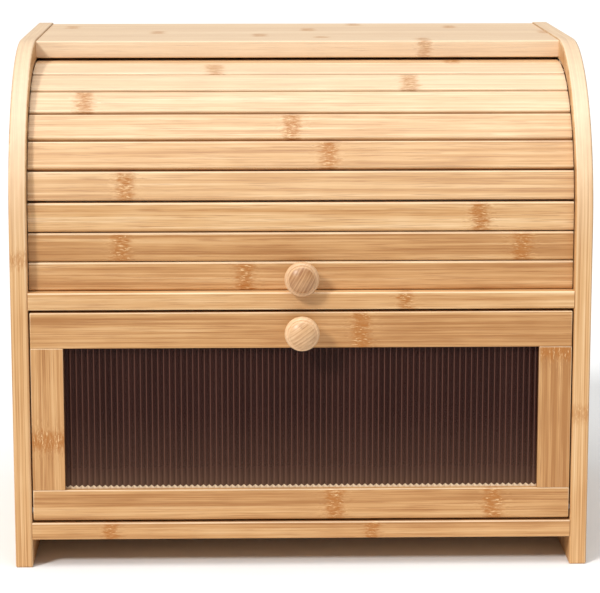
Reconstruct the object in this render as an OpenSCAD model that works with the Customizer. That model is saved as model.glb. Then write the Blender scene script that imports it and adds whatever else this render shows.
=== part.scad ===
// Bread box with a roll top above a drop-down flap door.
// Millimetres, +Z up, front towards -Y. The origin lies on the table, under the middle of the box.
// Sections are drawn flat as [depth behind the front edge, height] and extruded along X.

/* [Case] */
// Overall width over both side panels
case_w = 400; // [300:1:500]
// Depth of the side panels
case_d = 280; // [240:1:360]
// Height of the side panels, from the table to their top edge
case_h = 359.5; // [330:0.5:430]
// Radius of the side panels' curved front corner
corner_r = 120; // [105:1:140]
// Thickness of the side panels
panel_t = 12; // [10:0.5:18]
// Thickness of the top board, the shelf and the bottom board
board_t = 12; // [10:0.5:15]
// Height of the bottom board's underside above the table
foot_h = 20; // [10:1:40]
// Height of the middle shelf's underside above the table
shelf_z = 183; // [170:1:210]
// Step from the side panels' top edge down to the top board
top_step = 1; // [0:0.5:4]
// Setback of the top board's front edge from the side panels' front edge
top_setback = 111; // [105:1:125]

/* [Back panel] */
// Thickness of the back panel
back_t = 5; // [3:0.5:6]
// Wood left behind the back panel's groove
back_margin = 5; // [4:0.5:10]
// Depth of the back panel's groove in each side panel
back_groove = 4; // [2:0.5:6]

/* [Roll top] */
// Number of slats
slat_n = 11; // [11:1:11]
// Pitch of the slats, measured along the canvas
slat_pitch = 20.4; // [17:0.1:22]
// Thickness of a slat
slat_t = 7; // [5:0.1:7.5]
// Gap between neighbouring slats at the canvas
slat_gap = 0.6; // [0.4:0.1:1.5]
// Chamfer along a slat's outer edges
slat_chamfer = 1; // [0.4:0.1:1.5]
// Setback of the closed roll top's outer face from the side panels' front edge
roll_setback = 8; // [7:0.5:12]
// Radius of the roll top's outer face
roll_r = 100; // [90:1:104]
// Gap between a slat's end and the side panel
slat_end_gap = 0.5; // [0.3:0.1:1.5]
// Width of the tongue on each slat end
tongue_w = 6; // [4:0.5:8]
// Thickness of that tongue
tongue_t = 3; // [2:0.5:4]
// Length of that tongue
tongue_len = 5; // [3:0.5:6]
// Depth of the track in each side panel
track_depth = 5; // [3.5:0.5:7]
// Room in the track outside the middle of the tongues
track_out = 4.4; // [4:0.1:5]
// Room in the track inside the middle of the tongues
track_in = 6.3; // [6:0.1:8]
// Thickness of the canvas behind the slats
canvas_t = 0.5; // [0.4:0.1:1]
// Margin from the end of a slat to the edge of the canvas
canvas_margin = 12; // [8:1:30]
// Depth of the relief under the top board that the slats pass through
relief_h = 3; // [3:0.1:4]
// Thickness of the top board's front lip before that relief starts
lip_t = 4; // [3:0.5:4]

/* [Door] */
// Gap between the door and each side panel
door_gap_x = 1; // [0.6:0.1:2]
// Gap between the door and the shelf above it
door_gap_top = 1.8; // [1:0.1:3]
// Gap between the door and the bottom board
door_gap_bottom = 1.6; // [1.4:0.1:3]
// Thickness of the door's frame
door_t = 12; // [11:0.5:15]
// Height of the door's top rail
top_rail_h = 25; // [22:0.5:35]
// Height of the door's bottom rail
bottom_rail_h = 22; // [20:0.5:35]
// Width of the door's stiles
stile_w = 22.5; // [20:0.5:35]
// Depth from the frame's front face to the pane
pane_setback = 4.5; // [3:0.1:5]
// Thickness of the pane at its ribs
pane_t = 3; // [2:0.1:4]
// Pitch of the ribs on the pane
rib_pitch = 4; // [3:0.1:8]
// Height of a rib
rib_h = 0.7; // [0.3:0.1:1]
// Width of the rebate that holds the pane
rebate_w = 5; // [4:0.5:7]
// Clearance around the pane in its rebate
pane_clear = 0.3; // [0.2:0.1:1]
// Radius of the rounded lower front edge, which clears the bottom board as the door turns
door_round = 2.5; // [2.5:0.1:4]
// Height of the hinge axis above the door's lower edge
hinge_rise = 6.6; // [6.5:0.1:8]
// Diameter of the hinge pins
pin_d = 5; // [4:0.5:6]
// Length of a hinge pin inside the door
pin_in_door = 14; // [10:1:30]
// Length of a hinge pin inside its bush
pin_in_bush = 7.5; // [5:0.5:7.5]
// Wall of a hinge bush
bush_wall = 1.5; // [1:0.1:2]
// Radial running clearance between pin and bush
pin_clear = 0.05; // [0.02:0.01:0.1]

/* [Knobs] */
// Diameter of both knobs
knob_d = 24; // [18:0.5:30]
// Length of both knobs
knob_len = 22; // [16:0.5:28]
// Diameter of a knob's foot
knob_foot_d = 13; // [10:0.5:16]
// Height of the roll top knob above the lowest slat's lower edge
roll_knob_rise = 10.2; // [8:0.1:12]
// Height of the door knob above the top rail's lower edge
door_knob_rise = 12.5; // [10:0.5:15]
// Diameter of the knob screws
knob_screw_d = 4; // [3:0.5:5]
// Reach of a knob screw into its knob
knob_screw_reach = 12; // [8:1:16]

/* [Fasteners and catch] */
// Diameter of the case screws
screw_d = 4; // [3:0.5:5]
// Length of the case screws
screw_len = 40; // [30:1:50]
// Diameter of the case screws' heads
screw_head_d = 7.5; // [6:0.5:9]
// Diameter of the dowels in the case and in the door
dowel_d = 6; // [4:0.5:8]
// Length of a dowel in the case
dowel_len = 28; // [20:1:34]
// Wood left between a dowel in the door and the hinge pin below it
dowel_wall = 2; // [1:0.5:4]
// Depth of a dowel in a side panel
dowel_in_panel = 8; // [6:0.5:9]
// Offset of the magnetic catch from the middle of the door
catch_x = 50; // [30:1:120]
// Width of the magnetic catch
catch_w = 40; // [30:1:60]
// Height of the magnetic catch
catch_h = 12; // [8:0.5:14]
// Depth of the magnetic catch
catch_d = 14; // [10:0.5:20]
// Thickness of the strike plate
strike_t = 1; // [0.8:0.1:2]
// Air gap between the magnets and the strike plate
catch_air = 0.3; // [0.2:0.1:1]

/* [Hidden] */
$fn = 64;

BAMBOO = [0.87, 0.69, 0.46];
BEECH = [0.86, 0.67, 0.45];
PLY = [0.80, 0.63, 0.42];
CANVAS = [0.80, 0.76, 0.66];
STEEL = [0.72, 0.72, 0.74];
SMOKED = [0.30, 0.20, 0.18, 0.6];
PLASTIC = [0.25, 0.16, 0.10];

cut = 1;                    // how far a cutting tool runs past a face
fit = 0.05;                 // clearance all round a screw or dowel in its hole
inner_w = case_w - 2 * panel_t;
front_y = -(case_d + knob_len) / 2 + knob_len;
shelf_top = shelf_z + board_t;
floor_top = foot_h + board_t;
top_z = case_h - top_step - board_t;
back_front = case_d - back_margin - back_t;

// Roll top: the seams between the slats lie on the canvas, which runs up, round and back
canvas_r = roll_r - slat_t;
roll_top_gap = 2;           // from the roll top's upper face to the top board's underside
arc_z = top_z - roll_top_gap - roll_r;
arc_depth = roll_setback + roll_r;
rise = arc_z - shelf_top;
arc_len = canvas_r * PI / 2;
slat_w = slat_pitch - slat_gap;
slat_len = inner_w - 2 * slat_end_gap;
track_r = canvas_r + slat_t / 2;

// Door
door_w = inner_w - 2 * door_gap_x;
door_z = floor_top + door_gap_bottom;
door_top = shelf_z - door_gap_top;
door_h = door_top - door_z;
window_w = door_w - 2 * stile_w;
window_h = door_h - top_rail_h - bottom_rail_h;
window_z = door_z + bottom_rail_h;
pane_w = window_w + 2 * (rebate_w - pane_clear);
pane_h = window_h + 2 * (rebate_w - pane_clear);
bead_d = door_t - pane_setback - pane_t;
hinge_z = door_z + hinge_rise;
hinge_depth = door_t / 2;
dowel_x = door_w / 2 - (stile_w - rebate_w) / 2;
door_dowel_reach = bottom_rail_h - hinge_rise - pin_d / 2 - dowel_wall;
door_knob_z = door_top - top_rail_h + door_knob_rise;
roll_knob_z = shelf_top + roll_knob_rise;

// Fasteners
screw_head_h = (screw_head_d - screw_d) / 2;
low_screw_depths = [50, case_d - 60];
top_screw_depths = [top_setback + 40, case_d - 30];
low_dowel_depth = case_d / 2;
top_dowel_depth = (top_setback + case_d) / 2;
top_mid_z = top_z + (board_t + relief_h) / 2;
catch_front = door_t + strike_t + catch_air;
catch_z = shelf_z - catch_h;
plate_t = 1.2;              // thickness of each steel pole plate of the catch
small_screw_d = 2.5;        // the catch's and the strike plate's screws
small_head_d = 5;
small_head_h = (small_head_d - small_screw_d) / 2;
small_screw_len = 9;

// Point on the canvas at distance s along it from the shelf, as [depth, height]
function canvas_point(s) =
    let(turn = (s - rise) / canvas_r * 180 / PI)
    s <= rise ? [roll_setback + slat_t, shelf_top + s]
    : turn <= 90 ? [arc_depth - canvas_r * cos(turn), arc_z + canvas_r * sin(turn)]
    : [arc_depth + s - rise - arc_len, arc_z + canvas_r];

// Lean of slat k from upright, in degrees
function slat_lean(k) =
    let(run = canvas_point((k + 1) * slat_pitch) - canvas_point(k * slat_pitch))
    atan2(run.x, run.y);

function slat_middle(k) = (canvas_point(k * slat_pitch) + canvas_point((k + 1) * slat_pitch)) / 2;

// Extrudes a [depth, height] section along X, centred on x
module along_x(length, x = 0) {
    translate([x - length / 2, front_y, 0])
        rotate([90, 0, 90])
            linear_extrude(length) children();
}

// A plain block from a depth, a height and a middle x
module block(x, depth, z, w, d, h) {
    translate([x - w / 2, front_y + depth, z]) cube([w, d, h]);
}

// A round bar along X whose axis is at a depth and height
module bar_x(x0, depth, z, r, length) {
    translate([x0, front_y + depth, z]) rotate([0, 90, 0]) cylinder(r = r, h = length);
}

// ---- Case ----

module side_outline() {
    union() {
        square([case_d, case_h - corner_r]);
        translate([corner_r, 0]) square([case_d - corner_r, case_h]);
        translate([corner_r, case_h - corner_r]) circle(corner_r, $fn = 128);
    }
}

// Quarter ring of the track, between two radii
module track_bend(r_in, r_out) {
    translate([arc_depth, arc_z]) intersection() {
        difference() {
            circle(r_out, $fn = 128);
            circle(r_in, $fn = 128);
        }
        translate([-r_out - cut, 0]) square([r_out + cut, r_out + cut]);
    }
}

// The track that the slats' tongues run in: up the front, round the corner and along the top
module track_outline() {
    r_in = track_r - track_in;
    r_out = track_r + track_out;
    union() {
        translate([arc_depth - r_out, shelf_top]) square([r_out - r_in, rise + 0.01]);
        track_bend(r_in, r_out);
        translate([arc_depth - 0.01, arc_z + r_in])
            square([back_front - arc_depth + 0.02, r_out - r_in]);
    }
}

// Places children at each board screw of the right-hand side panel, pointing inwards along -X
module at_side_screws() {
    for (depth = low_screw_depths, z = [foot_h + board_t / 2, shelf_z + board_t / 2])
        translate([case_w / 2, front_y + depth, z]) rotate([0, -90, 0]) children();
    for (depth = top_screw_depths)
        translate([case_w / 2, front_y + depth, top_mid_z]) rotate([0, -90, 0]) children();
}

// A countersunk screw with its head at the origin, pointing along +Z
module countersunk_screw(d, length, head_d, head_h, grow = 0) {
    rotate_extrude()
        polygon([[0, -grow], [head_d / 2 + grow, -grow], [head_d / 2 + grow, 0],
            [d / 2 + grow, head_h], [d / 2 + grow, length - d / 2 + grow], [0, length + grow]]);
}

module side_screw(grow = 0) {
    countersunk_screw(screw_d, screw_len, screw_head_d, screw_head_h, grow);
}

// The dowels between the right-hand side panel and the boards
module side_dowels(grow = 0) {
    for (z = [foot_h + board_t / 2, shelf_z + board_t / 2])
        bar_x(inner_w / 2 - dowel_len + dowel_in_panel - grow, low_dowel_depth, z,
            dowel_d / 2 + grow, dowel_len + 2 * grow);
    bar_x(inner_w / 2 - dowel_len + dowel_in_panel - grow, top_dowel_depth, top_mid_z,
        dowel_d / 2 + grow, dowel_len + 2 * grow);
}

module side_panel() {
    color(BAMBOO) difference() {
        along_x(panel_t, (case_w - panel_t) / 2) side_outline();
        along_x(track_depth + cut, (inner_w + track_depth - cut) / 2) track_outline();
        block((inner_w + back_groove - cut) / 2, back_front, -cut, back_groove + cut,
            back_t, top_z + cut);
        at_side_screws() side_screw(fit);
        side_dowels(fit);
        bar_x(inner_w / 2 - cut, hinge_depth, hinge_z, pin_d / 2 + pin_clear + bush_wall,
            pin_in_bush + 0.5 + cut);
    }
}

// Takes the fasteners' holes out of both ends of a board
module drilled() {
    difference() {
        children();
        at_side_screws() side_screw(fit);
        mirror([1, 0, 0]) at_side_screws() side_screw(fit);
        side_dowels(fit);
        mirror([1, 0, 0]) side_dowels(fit);
    }
}

module top_board() {
    color(BAMBOO) drilled() difference() {
        block(0, top_setback, top_z, inner_w, case_d - top_setback, board_t);
        block(0, top_setback + lip_t, top_z - cut, inner_w + 2 * cut,
            back_front - top_setback - lip_t, relief_h + cut);
    }
}

module low_board(z) {
    color(BAMBOO) drilled() block(0, 0, z, inner_w, back_front, board_t);
}

module middle_shelf() {
    difference() {
        low_board(shelf_z);
        catch_screw_holes();
    }
}

module bottom_board() {
    low_board(foot_h);
}

module back_panel() {
    color(PLY) block(0, back_front + 0.1, foot_h, inner_w + 2 * back_groove - 1, back_t - 0.2,
        top_z - foot_h);
}

module hinge_bushes() {
    color(PLASTIC) for (side = [0, 1]) mirror([side, 0, 0]) difference() {
        bar_x(inner_w / 2, hinge_depth, hinge_z, pin_d / 2 + pin_clear + bush_wall,
            pin_in_bush + 0.5);
        bar_x(inner_w / 2 - cut, hinge_depth, hinge_z, pin_d / 2 + pin_clear,
            pin_in_bush + 0.5 + 2 * cut);
    }
}

// ---- Magnetic catch ----

// Places children at the catch's two screws, which point up into the shelf
module at_catch_screws() {
    for (side = [-1, 1])
        translate([catch_x + side * catch_w * 0.35, front_y + catch_front + catch_d / 2 + 1,
            shelf_z - small_screw_len / 2]) children();
}

module catch_screw_holes() {
    at_catch_screws() countersunk_screw(small_screw_d, small_screw_len, small_head_d,
        small_head_h, fit);
}

module catch_housing() {
    color(PLASTIC) difference() {
        block(catch_x, catch_front + 0.5, catch_z, catch_w, catch_d, catch_h);
        block(catch_x, catch_front - cut, catch_z + 2, catch_w * 0.5 + 0.2, catch_d * 0.7 + cut,
            catch_h - 4);
        at_catch_screws() {
            countersunk_screw(small_screw_d, small_screw_len, small_head_d, small_head_h, fit);
            translate([0, 0, -catch_h]) cylinder(d = small_head_d + 0.4, h = catch_h);
        }
    }
}

module catch_magnets() {
    color(STEEL) for (side = [-1, 1])
        block(catch_x + side * catch_w * 0.15, catch_front, catch_z + 2.2, plate_t,
            catch_d * 0.6, catch_h - 4.4);
    color(PLASTIC) block(catch_x, catch_front + 0.8, catch_z + 2.2,
        catch_w * 0.3 - plate_t - 0.02, catch_d * 0.6 - 0.8, catch_h - 4.4);
}

module catch_screws() {
    color(STEEL) at_catch_screws()
        countersunk_screw(small_screw_d, small_screw_len, small_head_d, small_head_h);
}

// Places children at the strike plate's two screws, which point into the door's back face
module at_strike_screws() {
    for (side = [-1, 1])
        translate([catch_x + side * catch_w * 0.3, front_y + door_t + strike_t,
            catch_z + catch_h / 2]) rotate([90, 0, 0]) children();
}

module strike_screw(grow = 0) {
    countersunk_screw(small_screw_d, small_screw_len, small_head_d, small_head_h, grow);
}

module strike_plate() {
    color(STEEL) difference() {
        block(catch_x, door_t, catch_z + 1, catch_w * 0.85, strike_t, catch_h - 3);
        at_strike_screws() strike_screw(fit);
    }
}

module strike_screws() {
    color(STEEL) at_strike_screws() strike_screw();
}

// ---- Case fasteners ----

module side_screws() {
    color(STEEL) at_side_screws() side_screw();
}

module board_dowels() {
    color(BEECH) side_dowels();
}

// ---- Door ----

// Section of the bottom rail, with its rounded lower front edge and its rebate
module bottom_rail_section() {
    difference() {
        union() {
            translate([door_round, door_z]) square([door_t - door_round, bottom_rail_h]);
            translate([0, door_z + door_round]) square([door_t, bottom_rail_h - door_round]);
            translate([door_round, door_z + door_round]) circle(door_round);
        }
        translate([pane_setback, window_z - rebate_w]) square([door_t, rebate_w + cut]);
    }
}

// The dowels that join rails and stiles
module frame_dowels(grow = 0) {
    for (x = [-dowel_x, dowel_x], z = [window_z, window_z + window_h])
        translate([x, front_y + door_t / 2, z - door_dowel_reach - grow])
            cylinder(d = dowel_d + 2 * grow, h = 2 * (door_dowel_reach + grow));
}

// The ends of the rails past the window have no rebate, so it is cut only between the stiles
module door_bottom_rail() {
    color(BAMBOO) difference() {
        union() {
            along_x(window_w + 2 * rebate_w) bottom_rail_section();
            for (side = [-1, 1])
                along_x(stile_w - rebate_w, side * (door_w - stile_w + rebate_w) / 2) union() {
                    bottom_rail_section();
                    translate([pane_setback - 1, window_z - rebate_w - 1])
                        square([door_t - pane_setback + 1, rebate_w + 1]);
                }
        }
        frame_dowels(fit);
        for (side = [0, 1]) mirror([side, 0, 0])
            bar_x(door_w / 2 - pin_in_door - 0.5, hinge_depth, hinge_z, pin_d / 2 + 0.02,
                pin_in_door + 0.5 + cut);
    }
}

module door_top_rail() {
    color(BAMBOO) difference() {
        block(0, 0, window_z + window_h, door_w, door_t, top_rail_h);
        block(0, pane_setback, window_z + window_h - cut, window_w + 2 * rebate_w, door_t,
            rebate_w + cut);
        frame_dowels(fit);
        translate([0, front_y, door_knob_z]) knob_screw_hole(door_t);
        at_strike_screws() strike_screw(fit);
    }
}

module door_stile() {
    color(BAMBOO) difference() {
        block((door_w - stile_w) / 2, 0, window_z, stile_w, door_t, window_h);
        block(window_w / 2, pane_setback, window_z - cut, 2 * rebate_w, door_t,
            window_h + 2 * cut);
        frame_dowels(fit);
    }
}

// Outline of the pane seen from above: a flat back and ribs of circular section in front
module pane_outline() {
    steps = 4;
    count = floor(pane_w / rib_pitch);
    x0 = -count * rib_pitch / 2;
    back = pane_t - rib_h;
    ribs = [for (i = [0 : count - 1], j = [0 : steps - 1])
        [x0 + (i + j / steps) * rib_pitch, -rib_h * sin(180 * j / steps)]];
    polygon(concat([[-pane_w / 2, back], [-pane_w / 2, 0]], ribs,
        [[-x0, 0], [pane_w / 2, 0], [pane_w / 2, back]]));
}

module reeded_pane() {
    color(SMOKED) translate([0, front_y + pane_setback + rib_h, window_z + (window_h - pane_h) / 2])
        linear_extrude(pane_h) pane_outline();
}

module pane_beads() {
    w = rebate_w - 0.1;
    depth = pane_setback + pane_t;
    color(BAMBOO) {
        for (z = [window_z - w, window_z + window_h])
            block(0, depth + 0.1, z, window_w + 2 * w, bead_d - 0.1, w);
        for (side = [-1, 1])
            block(side * (window_w + w) / 2, depth + 0.1, window_z + 0.1, w, bead_d - 0.1,
                window_h - 0.2);
    }
}

module door_dowels() {
    color(BEECH) frame_dowels();
}

module door_hinge_pins() {
    color(STEEL) for (side = [0, 1]) mirror([side, 0, 0])
        bar_x(door_w / 2 - pin_in_door, hinge_depth, hinge_z, pin_d / 2,
            pin_in_door + door_gap_x + pin_in_bush - 0.3);
}

// ---- Knobs ----

// Turned knob standing along -Y from its foot at the origin
module turned_knob() {
    r = knob_d / 2;
    difference() {
        rotate([90, 0, 0]) rotate_extrude($fn = 96) polygon([
            [0, 0], [knob_foot_d / 2, 0], [knob_foot_d / 2 - 1, 3], [knob_foot_d / 2 - 1, 6],
            [r - 3, 10], [r - 0.8, 12], [r, 14], [r - 0.4, 16], [r - 1.6, 17.6],
            [r - 2.2, 17.8], [r - 2.6, 17.4], [r - 3, 18.2], [r * 0.55, knob_len - 1.2],
            [r * 0.3, knob_len - 0.3], [0, knob_len]]);
        rotate([90, 0, 0]) translate([0, 0, -cut])
            cylinder(d = knob_screw_d, h = knob_screw_reach + cut + fit);
    }
}

// A pan-head screw that comes from behind a piece of the given thickness into the knob
module knob_screw(thickness, grow = 0) {
    head_h = 2.4;
    rotate([90, 0, 0]) {
        translate([0, 0, -thickness - grow])
            cylinder(d = knob_screw_d + 2 * grow, h = thickness + knob_screw_reach + 2 * grow);
        translate([0, 0, -thickness - head_h])
            cylinder(d = 2 * knob_screw_d, h = head_h);
    }
}

module knob_screw_hole(thickness) {
    rotate([90, 0, 0]) translate([0, 0, -thickness - cut])
        cylinder(d = knob_screw_d + 2 * fit, h = thickness + 2 * cut);
}

module door_knob() {
    color(BEECH) translate([0, front_y, door_knob_z]) turned_knob();
}

module door_knob_screw() {
    color(STEEL) translate([0, front_y, door_knob_z]) knob_screw(door_t);
}

module roll_knob() {
    color(BEECH) translate([0, front_y + roll_setback, roll_knob_z]) turned_knob();
}

module roll_knob_screw() {
    color(STEEL) translate([0, front_y + roll_setback, roll_knob_z])
        knob_screw(slat_t + canvas_t);
}

// ---- Roll top ----

// Puts a section drawn on slat k's own axes in place: +Y along the slat, -X outwards
module on_slat(k) {
    translate(slat_middle(k)) rotate(-slat_lean(k)) children();
}

module slat_section() {
    polygon([[0, -slat_w / 2], [0, slat_w / 2], [-slat_t + slat_chamfer, slat_w / 2],
        [-slat_t, slat_w / 2 - slat_chamfer], [-slat_t, -slat_w / 2 + slat_chamfer],
        [-slat_t + slat_chamfer, -slat_w / 2]]);
}

module slat(k) {
    color(BAMBOO) difference() {
        union() {
            along_x(slat_len) on_slat(k) slat_section();
            along_x(slat_len + 2 * (tongue_len - slat_end_gap)) on_slat(k)
                translate([-(slat_t + tongue_t) / 2, -tongue_w / 2]) square([tongue_t, tongue_w]);
        }
        if (k == 0) translate([0, front_y + roll_setback, roll_knob_z]) knob_screw_hole(slat_t);
    }
}

module canvas_strip(k) {
    color(CANVAS) difference() {
        along_x(slat_len - 2 * canvas_margin) on_slat(k)
            translate([0, -slat_w / 2]) square([canvas_t, slat_w]);
        if (k == 0) translate([0, front_y + roll_setback, roll_knob_z])
            knob_screw_hole(slat_t + canvas_t);
    }
}

mirror([1, 0, 0]) side_panel();  // side_panel_left
side_panel();  // side_panel_right
top_board();
middle_shelf();
bottom_board();
back_panel();
hinge_bushes();
catch_housing();
catch_magnets();
catch_screws();
mirror([1, 0, 0]) side_screws();  // side_screws_left
side_screws();  // side_screws_right
mirror([1, 0, 0]) board_dowels();  // board_dowels_left
board_dowels();  // board_dowels_right
door_top_rail();
door_bottom_rail();
mirror([1, 0, 0]) door_stile();  // door_stile_left
door_stile();  // door_stile_right
reeded_pane();
pane_beads();
door_dowels();
door_knob();
door_knob_screw();
door_hinge_pins();
strike_plate();
strike_screws();
roll_knob();
roll_knob_screw();
slat(0);  // slat_01
slat(1);  // slat_02
slat(2);  // slat_03
slat(3);  // slat_04
slat(4);  // slat_05
slat(5);  // slat_06
slat(6);  // slat_07
slat(7);  // slat_08
slat(8);  // slat_09
slat(9);  // slat_10
slat(10);  // slat_11
canvas_strip(0);  // canvas_01
canvas_strip(1);  // canvas_02
canvas_strip(2);  // canvas_03
canvas_strip(3);  // canvas_04
canvas_strip(4);  // canvas_05
canvas_strip(5);  // canvas_06
canvas_strip(6);  // canvas_07
canvas_strip(7);  // canvas_08
canvas_strip(8);  // canvas_09
canvas_strip(9);  // canvas_10
canvas_strip(10);  // canvas_11
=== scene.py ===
"""Looks of a bread box: a bamboo case, a roll top of slats on canvas and a reeded flap door.

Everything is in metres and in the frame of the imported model. Places and sizes are read from the
model's nodes, and the classes below add the sizes that only the looks need: eased edges, turned
profiles, weave and grain.
"""

import logging
import math
from dataclasses import dataclass, field
from enum import Enum
from typing import Callable, Iterable, Sequence

import bmesh
import bpy
from mathutils import Matrix, Vector


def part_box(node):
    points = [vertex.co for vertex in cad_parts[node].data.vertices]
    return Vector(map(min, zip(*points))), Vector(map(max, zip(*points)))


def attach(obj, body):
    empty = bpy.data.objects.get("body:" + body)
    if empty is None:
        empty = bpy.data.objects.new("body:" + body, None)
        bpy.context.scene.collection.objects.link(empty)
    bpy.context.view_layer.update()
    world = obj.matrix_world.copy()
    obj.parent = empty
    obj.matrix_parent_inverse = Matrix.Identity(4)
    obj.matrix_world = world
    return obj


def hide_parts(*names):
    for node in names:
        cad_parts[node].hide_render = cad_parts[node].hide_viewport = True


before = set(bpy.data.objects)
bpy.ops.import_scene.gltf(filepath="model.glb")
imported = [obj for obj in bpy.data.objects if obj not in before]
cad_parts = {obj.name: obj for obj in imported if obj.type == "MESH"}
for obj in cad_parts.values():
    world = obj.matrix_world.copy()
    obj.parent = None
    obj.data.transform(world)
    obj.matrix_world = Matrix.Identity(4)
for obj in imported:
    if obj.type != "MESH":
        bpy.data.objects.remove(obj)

MM = 0.001
WEAR_AND_HIGHLIGHT = "ease"                # face attribute: 1 on the eased edges, painted paler as rubbed wear and, where they face up, as a painted highlight
SHARP = math.radians(30)     # a corner steeper than this is an edge that gets eased
CLOSE = 0.01 * MM            # corners no further apart than this lie on one face
ORIGIN = (0.0, 0.0, 0.0)
SIDEWAYS = Matrix.Rotation(math.pi / 2, 4, "Y")     # lays an upright piece along X

log = logging.getLogger("bread_box")

Colour = tuple[float, float, float, float]


def tint(red: int, green: int, blue: int) -> Colour:
    """Turns a display colour, 0 to 255, into linear light with full alpha."""
    def linear(channel: int) -> float:
        """One channel of the display curve undone."""
        share = channel / 255
        return share / 12.92 if share <= 0.04045 else ((share + 0.055) / 1.055) ** 2.4

    return (linear(red), linear(green), linear(blue), 1.0)


# ---- Shader expressions ----


class Value:
    """A number, colour or vector that varies over a surface."""

    def __init__(self, shader: "Shader", socket: bpy.types.NodeSocket) -> None:
        """Wraps one output socket of a shader's node."""
        self.shader = shader
        self.socket = socket

    def _maths(self, operation: str, *terms: "Value | float") -> "Value":
        """Adds a Math node that works on the terms in order."""
        return self.shader.node("ShaderNodeMath", {"operation": operation},
                                dict(enumerate(terms)))

    def __add__(self, other: "Value | float") -> "Value":
        """Sum."""
        return self._maths("ADD", self, other)

    __radd__ = __add__

    def __sub__(self, other: "Value | float") -> "Value":
        """Difference."""
        return self._maths("SUBTRACT", self, other)

    def __rsub__(self, other: float) -> "Value":
        """Difference from a plain number."""
        return self._maths("SUBTRACT", other, self)

    def __mul__(self, other: "Value | float") -> "Value":
        """Product."""
        return self._maths("MULTIPLY", self, other)

    __rmul__ = __mul__

    def __truediv__(self, other: "Value | float") -> "Value":
        """Quotient."""
        return self._maths("DIVIDE", self, other)

    def __abs__(self) -> "Value":
        """Size without sign."""
        return self._maths("ABSOLUTE", self)

    def whole(self) -> "Value":
        """Largest whole number that isn't above the value."""
        return self._maths("FLOOR", self)

    def part(self) -> "Value":
        """What is left above the whole number."""
        return self._maths("FRACT", self)

    def wave(self) -> "Value":
        """Sine of the value, in radians."""
        return self._maths("SINE", self)

    def above(self, other: "Value | float") -> "Value":
        """The larger of two values."""
        return self._maths("MAXIMUM", self, other)

    def fade(self, start: float, end: float) -> "Value":
        """Goes smoothly from 1 at start to 0 at end, whichever of the two is larger."""
        rising = start > end
        return self.shader.node(
            "ShaderNodeMapRange", {"interpolation_type": "SMOOTHSTEP"},
            {"Value": self, "From Min": min(start, end), "From Max": max(start, end),
             "To Min": 0.0 if rising else 1.0, "To Max": 1.0 if rising else 0.0})


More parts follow.
